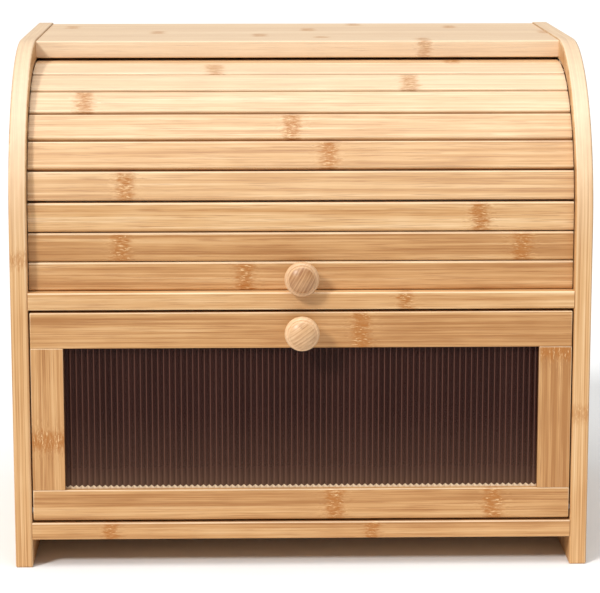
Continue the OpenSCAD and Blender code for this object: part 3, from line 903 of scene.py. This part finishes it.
@dataclass
class Case:
    """Side panels, boards, back panel and what holds them together.

    Attributes:
        edge: Rounding along the panels' edges.
        board_edge: Rounding along the boards' long edges.
        sheet_edge: Rounding along the back panel's edges.
        corner_r: Radius of the panels' front corner.
        arc_steps: Facets round that corner and round the track.
        track_r: Radius of the path that the tongues' middles follow round that corner.
        track_depth: Depth of the slats' track in each panel.
        track_out: Room in the track outside the tongues' middle.
        track_in: Room in the track inside the tongues' middle.
        groove_depth: Depth of the back panel's groove.
        groove_slack: Room in the groove on each side of the back panel.
        bush_reach: Length of the cutter for a hinge bush's hole.
        relief: Height of the slats' passage under the top board.
        lip: Thickness of the top board's lip in front of that passage.
        head_r: Radius of the case screws' heads.
        head_h: Height of their cone.
        head_room: Room round a head in its countersink.
        head_flat: How far a head's rim is broken.
        hex_r: Radius of their hexagon socket.
        hex_h: Length of the socket's cutter, half of which lies in the head.
        hole_steps: Facets round a drilled hole or a countersink.
        screw_steps: Facets round a screw.
        over: How far a cutter runs past a face.
        strip: Width of the strips that the panels and boards are glued from.
        seeds: What makes each panel's grain its own.
    """

    edge: float = 1.3 * MM
    board_edge: float = 0.9 * MM
    sheet_edge: float = 0.4 * MM
    corner_r: float = 120 * MM
    arc_steps: int = 64
    track_r: float = 96.5 * MM
    track_depth: float = 5 * MM
    track_out: float = 4.4 * MM
    track_in: float = 6.3 * MM
    groove_depth: float = 4 * MM
    groove_slack: float = 0.1 * MM
    bush_reach: float = 20 * MM
    relief: float = 3 * MM
    lip: float = 4 * MM
    head_r: float = 3.75 * MM
    head_h: float = 1.75 * MM
    head_room: float = 0.05 * MM
    head_flat: float = 0.15 * MM
    hex_r: float = 1.45 * MM
    hex_h: float = 2.6 * MM
    hole_steps: int = 48
    screw_steps: int = 32
    over: float = 1 * MM
    strip: float = 26 * MM
    seeds: dict[str, float] = field(default_factory=lambda: {
        "side_panel_left": 1.3, "side_panel_right": 4.1})

    def build(self) -> None:
        """Builds every piece of the case."""
        self.side_panels()
        self.boards()
        self.screws()
        self.hardware()

    def side_panels(self) -> None:
        """Panels with a round front corner, a track for the slats and a groove for the back."""
        low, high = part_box("side_panel_right")
        for name, side in (("side_panel_right", 1), ("side_panel_left", -1)):
            panel = block(low, high)
            rounded(panel, [edge for edge in panel.edges if self._is_corner(edge, low, high)],
                    self.corner_r, self.arc_steps)
            for face in panel.faces:
                face.smooth = abs(face.normal.x) < 0.5
            ease(panel, self.edge)
            panel = carve(panel, self._track(low.x), self._back_groove(low.x),
                          self._bush_hole(), self._head_holes())
            if side < 0:
                panel = flipped(panel)
            centre = Vector(middle(low, high))
            centre.x *= side
            look = Bamboo(tuple(centre), Along.HEIGHT.value, self.seeds[name], shade=0.42,
                          strip=self.strip, knuckle_gap=0.31, painted_light=0.52, bent_rim=True)
            deliver(name, panel, look, "case", [name])

    @staticmethod
    def _is_corner(edge: bmesh.types.BMEdge, low: Vector, high: Vector) -> bool:
        """True for the panel's upper front edge, along X."""
        return all(abs(end.co.y - low.y) < MM and abs(end.co.z - high.z) < MM
                   for end in edge.verts)

    def _track(self, inner_x: float) -> bmesh.types.BMesh:
        """Cutter for the track: up the front, round the corner and along the top."""
        first, last = slat_place("slat_01"), slat_place("slat_11")
        floor_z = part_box("middle_shelf")[1].z
        back_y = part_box("back_panel")[0].y
        centre = Vector((0, first.centre.y + self.track_r, last.centre.z - self.track_r))
        path_y = centre.y - self.track_r
        low = Vector((inner_x - self.over, path_y - self.track_out, floor_z))
        high = Vector((inner_x + self.track_depth, path_y + self.track_in, floor_z))
        work = bmesh.new()      # starts with a square of side 1
        ring = bmesh.ops.create_circle(work, cap_ends=True, segments=4, radius=math.sqrt(0.5),
                                       matrix=Matrix.Rotation(math.pi / 4, 4, "Z"))
        bmesh.ops.scale(work, vec=(high.x - low.x, high.y - low.y, 1), verts=ring["verts"])
        bmesh.ops.translate(work, vec=(low + high) / 2, verts=ring["verts"])
        end = self._drawn(work, list(work.faces), Vector((0, 0, centre.z - floor_z)))
        geometry = bmesh.ops.spin(work, geom=end, cent=centre, axis=(-1, 0, 0),
                                  angle=math.pi / 2, steps=self.arc_steps)["geom_last"]
        bmesh.ops.delete(work, geom=end, context="FACES")
        end = [item for item in geometry if isinstance(item, bmesh.types.BMFace)]
        self._drawn(work, end, Vector((0, back_y - centre.y, 0)))
        tidy(work)
        return work

    @staticmethod
    def _drawn(work: bmesh.types.BMesh, faces: list[bmesh.types.BMFace],
               way: Vector) -> list[bmesh.types.BMFace]:
        """Extrudes faces along a way and hands back the new end faces."""
        made = bmesh.ops.extrude_face_region(work, geom=faces)["geom"]
        bmesh.ops.translate(
            work, vec=way, verts=[item for item in made if isinstance(item, bmesh.types.BMVert)])
        return [item for item in made if isinstance(item, bmesh.types.BMFace)]

    def _back_groove(self, inner_x: float) -> bmesh.types.BMesh:
        """Cutter for the back panel's groove."""
        low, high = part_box("back_panel")
        return block((inner_x - self.over, low.y - self.groove_slack, -self.over),
                     (inner_x + self.groove_depth, high.y + self.groove_slack, high.z))

    def _bush_hole(self) -> bmesh.types.BMesh:
        """Cutter for the hinge bush's hole, which ends where the bush does."""
        low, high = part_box("hinge_bushes")
        centre = (high.x - self.bush_reach / 2, (low.y + high.y) / 2, (low.z + high.z) / 2)
        cutter = rod((high.z - low.z) / 2, self.bush_reach, self.hole_steps)
        return placed(cutter, Matrix.Translation(centre) @ SIDEWAYS)

    def _head_places(self) -> list[Vector]:
        """Middle of each case screw's head on the right-hand side."""
        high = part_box("side_screws_right")[1]
        rims = [point for point in corners("side_screws_right") if point.x > high.x - CLOSE]
        places: list[list[Vector]] = []
        for point in rims:
            near = [group for group in places if (group[0] - point).length < 3 * self.head_r]
            if near:
                near[0].append(point)
            else:
                places.append([point])
        heads = []
        for group in places:
            ys, zs = [point.y for point in group], [point.z for point in group]
            heads.append(Vector((high.x, (min(ys) + max(ys)) / 2, (min(zs) + max(zs)) / 2)))
        return heads

    def _head_holes(self) -> bmesh.types.BMesh:
        """Cutter for the countersinks on the outer face."""
        floor = -self.head_h - self.head_room
        rim = self.head_r + self.head_room
        cone = [(0, floor), (self.head_r - self.head_h, floor), (rim, 0), (rim, self.over),
                (0, self.over)]
        return joined(placed(turned(cone, self.hole_steps), Matrix.Translation(place) @ SIDEWAYS)
                      for place in self._head_places())

    def boards(self) -> None:
        """Bottom board, middle shelf, top board and back panel."""
        looks = {       # seed, shade, painted light and knuckles of each board
            "bottom_board": (8.9, 0.66, 0.0, (-133 * MM, 49 * MM)),
            "middle_shelf": (6.4, 0.36, 0.0, ()),
            "top_board": (2.2, 0.2, 0.5, (91 * MM,)),
        }
        for name, (seed, shade, painted_light, knuckles) in looks.items():
            low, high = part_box(name)
            board = block(low, high)
            ease(board, self.board_edge, choose=runs_across)
            if name == "top_board":
                back_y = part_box("back_panel")[0].y
                board = carve(board, block(
                    (low.x - self.over, low.y + self.lip, low.z - self.over),
                    (high.x + self.over, back_y, low.z + self.relief)))
            front_strip = (low.y - high.y) / 2 + self.strip
            look = Bamboo(middle(low, high), seed=seed, shade=shade, strip=self.strip,
                          knuckles=knuckles, knuckle_gap=0.29, knuckle_half=5 * MM,
                          knuckle_reach=front_strip, painted_light=painted_light)
            deliver(name, board, look, "case", [name])
        low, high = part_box("back_panel")
        sheet = block(low, high)
        ease(sheet, self.sheet_edge, 2)
        look = Bamboo(middle(low, high), Along.HEIGHT_ACROSS.value, seed=5.5, strip=17 * MM,
                      knuckle_gap=0.34, knuckle_half=5 * MM)
        deliver("back_panel", sheet, look, "case", ["back_panel"])

    def screws(self) -> None:
        """Countersunk screws with a hexagon socket, flush in the outer faces."""
        low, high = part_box("side_screws_right")
        tip = low.x - high.x
        shank = self.head_r - self.head_h
        profile = [(0, tip), (shank * 0.5, tip + shank), (shank, tip + 2 * shank),
                   (shank, -self.head_h), (self.head_r - self.head_flat, -self.head_flat),
                   (self.head_r - 2 * self.head_flat, 0), (0, 0)]
        for name, side in (("side_screws_right", 1), ("side_screws_left", -1)):
            bodies, sockets = [], []
            for place in self._head_places():
                matrix = Matrix.Translation(place) @ SIDEWAYS
                bodies.append(placed(turned(profile, self.screw_steps), matrix))
                sockets.append(placed(rod(self.hex_r, self.hex_h, 6), matrix))
            work = carve(joined(bodies), joined(sockets))
            if side < 0:
                work = flipped(work)
            deliver(name, work, Steel(), "case", [name])

    def hardware(self) -> None:
        """Finishes of the nodes whose shape is kept."""
        for node in ("hinge_bushes", "catch_housing"):
            dress(node, MouldedPlastic())
        for node in ("catch_magnets", "catch_screws"):
            dress(node, Steel())
        for node in ("board_dowels_left", "board_dowels_right"):
            dress(node, TurnedWood(ORIGIN, seed=3.0))


# ---- Roll top ----


@dataclass(frozen=True)
class SlatPlace:
    """Where one slat lies: its middle and its lean back from upright."""

    centre: Vector
    lean: float

    @property
    def turn(self) -> tuple[float, float, float]:
        """Angles that lay a pattern on the slat."""
        return (-self.lean, 0.0, 0.0)

    def matrix(self) -> Matrix:
        """Takes a slat drawn upright about the origin to its place."""
        return Matrix.Translation(self.centre) @ Matrix.Rotation(-self.lean, 4, "X")


def slat_place(node: str) -> SlatPlace:
    """Reads a slat's place from the four corners of the tongue on its right-hand end."""
    points = corners(node)
    reach = max(point.x for point in points)
    tip = [point for point in points if point.x > reach - CLOSE]
    centre = sum(tip, Vector()) / len(tip)
    centre.x = 0.0
    first, *others = tip
    across = sorted((point - first for point in others), key=lambda side: side.length)[1]
    if across.y + across.z < 0:
        across = -across
    return SlatPlace(centre, math.atan2(across.y, across.z))


@dataclass
class RollTop:
    """Slats glued to a canvas, and the knob on the lowest one.

    Attributes:
        count: Number of slats.
        pitch: Pitch of the slats along the canvas.
        width: Width of a slat.
        thick: Thickness of a slat.
        edge: Rounding along a slat's outer edges.
        tongue: Width and thickness of the tongues.
        tongue_len: Length of a tongue.
        canvas_t: Thickness of the canvas.
        glue: Thickness of the glue between a slat and the canvas.
        knuckles: Places of the knuckles on each slat, from the middle.
        shades: How dark each slat's cane is; the slats round the bend are set paler too, as
            painted light from above.
        painted_light: How far each slat is painted paler, as painted light from above.
    """

    count: int = 11
    pitch: float = 20.4 * MM
    width: float = 19.8 * MM
    thick: float = 7 * MM
    edge: float = 1.3 * MM
    tongue: tuple[float, float] = (6 * MM, 3 * MM)
    tongue_len: float = 4.5 * MM
    canvas_t: float = 0.5 * MM
    glue: float = 0.02 * MM
    knuckles: dict[int, tuple[float, ...]] = field(default_factory=lambda: {
        1: (-39 * MM,), 2: (-124 * MM, 152 * MM), 3: (123 * MM,), 4: (-121 * MM,),
        5: (19 * MM,), 6: (-6 * MM,), 7: (-150 * MM,), 8: (77 * MM,), 9: (-60 * MM,),
        10: (110 * MM,), 11: (10 * MM,)})
    # slats 6 to 9 face up round the bend and are set paler, as painted light from above
    shades: dict[int, float] = field(default_factory=lambda: {
        1: 0.56, 2: 0.92, 3: 0.56, 4: 0.5, 5: 0.52, 6: 0.4, 7: 0.3, 8: 0.25, 9: 0.22,
        10: 0.4, 11: 0.5})
    painted_light: dict[int, float] = field(default_factory=lambda: {
        1: 0.0, 2: 0.0, 3: 0.0, 4: 0.1, 5: 0.1, 6: 0.14, 7: 0.28, 8: 0.4, 9: 0.46,
        10: 0.15, 11: 0.0})

    def build(self) -> None:
        """Builds the slats, the canvas behind them and the knob."""
        for number in range(1, self.count + 1):
            place = slat_place(f"slat_{number:02d}")
            self.slat(number, place)
            self.canvas(number, place)
        Knob(tilt=math.radians(62), seed=2.0, pale=tint(198, 152, 106),
             dark=tint(150, 98, 56)).build("roll_knob", "slat_01")
        dress("roll_knob_screw", Steel())

    def slat(self, number: int, place: SlatPlace) -> None:
        """One slat with a tongue on each end."""
        name = f"slat_{number:02d}"
        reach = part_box(name)[1].x
        half = reach - self.tongue_len
        slat = block((-half, -self.thick / 2, -self.width / 2),
                     (half, self.thick / 2, self.width / 2))
        ease(slat, self.edge, choose=lambda edge: runs_across(edge) and all(
            end.co.y < 0 for end in edge.verts))
        ends = [face for face in slat.faces if abs(face.normal.x) > 0.9]
        for face in ends:
            side = 1 if face.normal.x > 0 else -1
            shoulder = bmesh.ops.extrude_face_region(slat, geom=[face])["geom"]
            fresh = [item for item in shoulder if isinstance(item, bmesh.types.BMFace)]
            tip = bmesh.ops.extrude_face_region(slat, geom=fresh)["geom"]
            self._shape_tongue(slat, fresh, tip, side * half)
            bmesh.ops.delete(slat, geom=fresh, context="FACES_ONLY")
        bmesh.ops.delete(slat, geom=ends, context="FACES_ONLY")
        tidy(slat)
        placed(slat, place.matrix())
        look = Bamboo(tuple(place.centre), place.turn, number * 1.37, self.shades[number],
                      knuckles=self.knuckles[number], painted_light=self.painted_light[number])
        deliver(name, slat, look, name, [name])

    def _shape_tongue(self, slat: bmesh.types.BMesh, base: list, tip: list,
                      end_x: float) -> None:
        """Shrinks an end face to the tongue's section and draws its copy out."""
        width, thick = self.tongue
        start = {vert for face in base for vert in face.verts}
        far = [item for item in tip if isinstance(item, bmesh.types.BMVert)]
        for vert in (*start, *far):
            vert.co.y = math.copysign(thick / 2, vert.co.y)
            vert.co.z = math.copysign(width / 2, vert.co.z)
        for vert in far:
            vert.co.x = end_x + math.copysign(self.tongue_len, end_x)

    def canvas(self, number: int, place: SlatPlace) -> None:
        """The strip of canvas glued behind one slat."""
        name = f"canvas_{number:02d}"
        slat = f"slat_{number:02d}"
        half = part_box(name)[1].x
        inner = self.thick / 2 + self.glue
        strip = block((-half, inner, -self.pitch / 2),
                      (half, inner + self.canvas_t, self.pitch / 2))
        placed(strip, place.matrix())
        piece = deliver(name, strip, CanvasWeave(tuple(place.centre), place.turn), slat,
                        [name])


# ---- Knobs ----


@dataclass
class Knob:
    """Turned knob with a necked foot, a rim and a shallow groove round its face.

    Attributes:
        tilt: Angle of the grain from level, as seen from the front.
        seed: Makes the grain its own.
        pale: Colour between the rings.
        dark: Colour of the rings.
        steps: Facets round the knob.
        profile: (radius, height) points from the foot to the groove round the face.
        dome: Radius and height of the domed face's rim.
        length: Length of the knob, in the profile's units.
        dome_steps: Facets from the face's rim to its middle.
    """

    tilt: float
    seed: float
    pale: Colour
    dark: Colour
    steps: int = 96
    profile: tuple[tuple[float, float], ...] = (
        (0, 0), (6.3, 0), (6.5, 0.25), (6.35, 1.2), (5.8, 2.4), (5.35, 3.6), (5.2, 4.8),
        (5.4, 6.2), (6.1, 7.5), (7.3, 8.7), (8.9, 9.8), (10.4, 10.7), (11.4, 11.6),
        (11.9, 12.6), (12.0, 13.6), (11.9, 14.6), (11.6, 15.6), (11.1, 16.5), (10.5, 17.1),
        (10.1, 17.2), (9.85, 17.05), (9.7, 17.4), (9.55, 18.1))
    dome: tuple[float, float] = (9.3, 18.6)
    length: float = 22.0
    dome_steps: int = 10

    def outline(self) -> list[tuple[float, float]]:
        """The whole profile, closed by a domed face that is part of a sphere."""
        radius, start = self.dome
        rise = self.length - start
        ball = (radius ** 2 + rise ** 2) / (2 * rise)
        top = math.asin(radius / ball)
        angles = [top * (1 - step / self.dome_steps) for step in range(self.dome_steps + 1)]
        return [*self.profile, *((ball * math.sin(angle),
                                  self.length - ball * (1 - math.cos(angle)))
                                 for angle in angles)]

    def build(self, name: str, body: str) -> None:
        """Turns the knob and sets it on its foot, facing the front."""
        low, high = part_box(name)
        scale = (high.y - low.y) / self.length
        points = [(radius * scale, height * scale) for radius, height in self.outline()]
        foot = Vector(((low.x + high.x) / 2, high.y, (low.z + high.z) / 2))
        matrix = Matrix.Translation(foot) @ Matrix.Rotation(math.pi / 2, 4, "X")
        knob = placed(turned(points, self.steps), matrix)
        look = TurnedWood(tuple(foot), (0.0, -self.tilt, 0.0), self.seed, self.pale, self.dark,
                          rim_r=self.dome[0] * scale * 0.9)
        deliver(name, knob, look, body, [name])


# ---- Door ----


@dataclass
class FlapDoor:
    """Framed door with a reeded pane, hinged along its lower edge.

    Attributes:
        edge: Rounding along the rails' edges.
        stile_edge: Rounding along the stiles' edges.
        bead_edge: Rounding along the beads' edges.
        rebate: Width of the rebate that holds the pane.
        pane_room: Room in the rebate at each end of the pane.
        bead_room: How much narrower the beads are than the rebate.
        round_r: Radius of the lower front edge.
        round_steps: Facets round that edge.
        setback: Depth from the frame's front to the pane's ribs.
        rib_pitch: Pitch of the pane's ribs.
        rib_h: Height of a rib.
        rib_steps: Facets across a rib.
        crisp: Corners of the pane steeper than this stay crisp.
    """

    edge: float = 0.7 * MM
    stile_edge: float = 0.45 * MM
    bead_edge: float = 0.5 * MM
    rebate: float = 5 * MM
    pane_room: float = 0.3 * MM
    bead_room: float = 0.1 * MM
    round_r: float = 2.5 * MM
    round_steps: int = 8
    setback: float = 4.5 * MM
    rib_pitch: float = 4 * MM
    rib_h: float = 0.7 * MM
    rib_steps: int = 6
    crisp: float = math.radians(50)

    def build(self) -> None:
        """Builds the frame, the pane, the knob and the small fittings."""
        self.rails()
        self.stiles()
        self.pane()
        self.beads()
        Knob(tilt=math.radians(35), seed=5.0, pale=tint(222, 182, 138),
             dark=tint(186, 138, 92)).build("door_knob", "door")
        for node in ("door_knob_screw", "door_hinge_pins", "strike_plate", "strike_screws"):
            dress(node, Steel())
        dress("door_dowels", TurnedWood(ORIGIN, seed=7.0))

    def rails(self) -> None:
        """Top and bottom rails, rebated between the stiles."""
        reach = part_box("reeded_pane")[1].x + self.pane_room
        for name, at_top, seed, shade, marks in (
                ("door_top_rail", True, 3.1, 0.66, (41 * MM,)),
                ("door_bottom_rail", False, 7.7, 0.95, (23 * MM, 134 * MM))):
            low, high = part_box(name)
            rail = block(low, high)
            if not at_top:
                rounded(rail, [edge for edge in rail.edges if all(
                    end.co.z < low.z + MM and end.co.y < low.y + MM for end in edge.verts)],
                    self.round_r, self.round_steps)
            ease(rail, self.edge)
            near, far = ((low.z - MM, low.z + self.rebate) if at_top
                         else (high.z - self.rebate, high.z + MM))
            rail = carve(rail, block((-reach, low.y + self.setback, near),
                                     (reach, high.y + MM, far)))
            look = Bamboo(middle(low, high), seed=seed, shade=shade, knuckles=marks)
            deliver(name, rail, look, "door", [name])

    def stiles(self) -> None:
        """Stiles between the rails, with upright grain."""
        for name, side, mark, seed in (("door_stile_left", -1, -15 * MM, 2.9),
                                       ("door_stile_right", 1, 48 * MM, 9.4)):
            low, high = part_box(name)
            stile = block(low, high)
            ease(stile, self.stile_edge)
            inner = low.x if side > 0 else high.x
            near, far = sorted((inner - side * MM, inner + side * self.rebate))
            cutter = block((near, low.y + self.setback, low.z - MM),
                           (far, high.y + MM, high.z + MM))
            look = Bamboo(middle(low, high), Along.HEIGHT.value, seed, 0.95,
                          knuckles=(mark,), knuckle_half=7 * MM)
            deliver(name, carve(stile, cutter), look, "door", [name])

    def pane(self) -> None:
        """Acrylic pane with round ribs on its front."""
        low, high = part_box("reeded_pane")
        pane = block(low, high)
        ribs = math.floor((high.x - low.x) / self.rib_pitch)
        edges = [edge for edge in pane.edges if runs_across(edge)]
        cuts = ribs * self.rib_steps - 1
        bmesh.ops.subdivide_edges(pane, edges=edges, cuts=cuts, use_grid_fill=True)
        centre = (low.x + high.x) / 2
        stretch = ribs * self.rib_pitch / (high.x - low.x)
        for vert in pane.verts:
            if vert.co.y < low.y + 0.1 * MM:
                run = (vert.co.x - centre) * stretch / self.rib_pitch
                vert.co.y += self.rib_h * (1 - abs(math.sin(math.pi * run)))
        for face in pane.faces:
            face.smooth = face.normal.y < -0.2
        tidy(pane)
        crease(pane, self.crisp)
        pitch = (high.x - low.x) / ribs
        look = ReededPane(middle(low, high), pitch, (high.z - low.z) / 2, self.rebate)
        deliver("reeded_pane", pane, look, "door", ["reeded_pane"])

    def beads(self) -> None:
        """Four beads that hold the pane from behind."""
        low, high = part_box("pane_beads")
        width = self.rebate - self.bead_room
        bars = [((low.x, low.z), (high.x, low.z + width)),
                ((low.x, high.z - width), (high.x, high.z)),
                ((low.x, low.z + width), (low.x + width, high.z - width)),
                ((high.x - width, low.z + width), (high.x, high.z - width))]
        parts = []
        for (x0, z0), (x1, z1) in bars:
            bar = block((x0, low.y, z0), (x1, high.y, z1))
            ease(bar, self.bead_edge)
            parts.append(bar)
        deliver("pane_beads", joined(parts), Bamboo(middle(low, high), seed=6.6), "door",
                ["pane_beads"])


# ---- Studio ----


@dataclass
class Studio:
    """Floor, soft lights and the camera.

    Attributes:
        camera_at: The camera's place.
        pitch: Its angle below level, in degrees.
        yaw: Its turn towards +X, in degrees.
        lens: Its focal length in millimetres.
        sensor: Width of its film in millimetres.
        sky: Brightness of the surroundings as a light.
        floor_size: Size of the floor, from its middle to a side.
    """

    camera_at: tuple[float, float, float] = (-0.0394, -1.790, 0.502)
    pitch: float = 10.563
    yaw: float = 1.319
    lens: float = 147.56
    sensor: float = 36.0
    sky: float = 0.29
    floor_size: float = 9.0

    def build(self) -> None:
        """Sets up the floor, lights, surroundings and camera."""
        self.floor()
        self.surroundings()
        self.soft_light("key", left=42, up=37, spread=11, strength=2.05)
        self.soft_light("overhead", left=5, up=78, spread=45, strength=1.95)
        self.camera()
        bpy.context.scene.view_settings.view_transform = "Standard"

    def floor(self) -> None:
        """A wide pale floor under the feet."""
        work = bmesh.new()
        bmesh.ops.create_grid(work, x_segments=4, y_segments=4, size=self.floor_size)
        floor = loose_object("studio_floor", work)
        floor.data.materials.append(PaleFloor().material("studio_floor"))

    def surroundings(self) -> None:
        """Plain white all round: full white to look at, softer as a light."""
        world = bpy.data.worlds.new("studio")
        bpy.context.scene.world = world
        world.use_nodes = True
        tree = world.node_tree
        tree.nodes.clear()
        rays = tree.nodes.new("ShaderNodeLightPath")
        level = tree.nodes.new("ShaderNodeMapRange")
        level.inputs["To Min"].default_value = self.sky
        level.inputs["To Max"].default_value = 1.0
        light = tree.nodes.new("ShaderNodeBackground")
        light.inputs["Color"].default_value = (1.0, 1.0, 1.0, 1.0)
        end = tree.nodes.new("ShaderNodeOutputWorld")
        tree.links.new(rays.outputs["Is Camera Ray"], level.inputs["Value"])
        tree.links.new(level.outputs[0], light.inputs["Strength"])
        tree.links.new(light.outputs[0], end.inputs["Surface"])

    @staticmethod
    def soft_light(name: str, left: float, up: float, spread: float, strength: float) -> None:
        """Adds a broad distant light.

        Args:
            name: Name of the light.
            left: Degrees that it stands to the left of straight ahead.
            up: Degrees that it stands above level.
            spread: Width of the light as the object sees it, in degrees.
            strength: Its strength in watts per square metre.
        """
        data = bpy.data.lights.new(name, "SUN")
        data.angle = math.radians(spread)
        data.energy = strength
        lamp = bpy.data.objects.new(name, data)
        lamp.rotation_euler = (math.radians(90 - up), 0.0, math.radians(-left))
        bpy.context.scene.collection.objects.link(lamp)

    def camera(self) -> None:
        """Camera in front, above and slightly left of the middle."""
        data = bpy.data.cameras.new("camera")
        data.lens = self.lens
        data.sensor_width = self.sensor
        camera = bpy.data.objects.new("camera", data)
        camera.location = self.camera_at
        camera.rotation_euler = (math.radians(90 - self.pitch), 0.0, math.radians(-self.yaw))
        bpy.context.scene.collection.objects.link(camera)
        bpy.context.scene.camera = camera


def main() -> None:
    """Builds the looks around the model."""
    logging.basicConfig(level=logging.INFO, format="%(message)s")
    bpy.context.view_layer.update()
    for assembly in (Case(), RollTop(), FlapDoor(), Studio()):
        assembly.build()
        log.info("%s built", type(assembly).__name__)


if __name__ == "__main__":
    main()
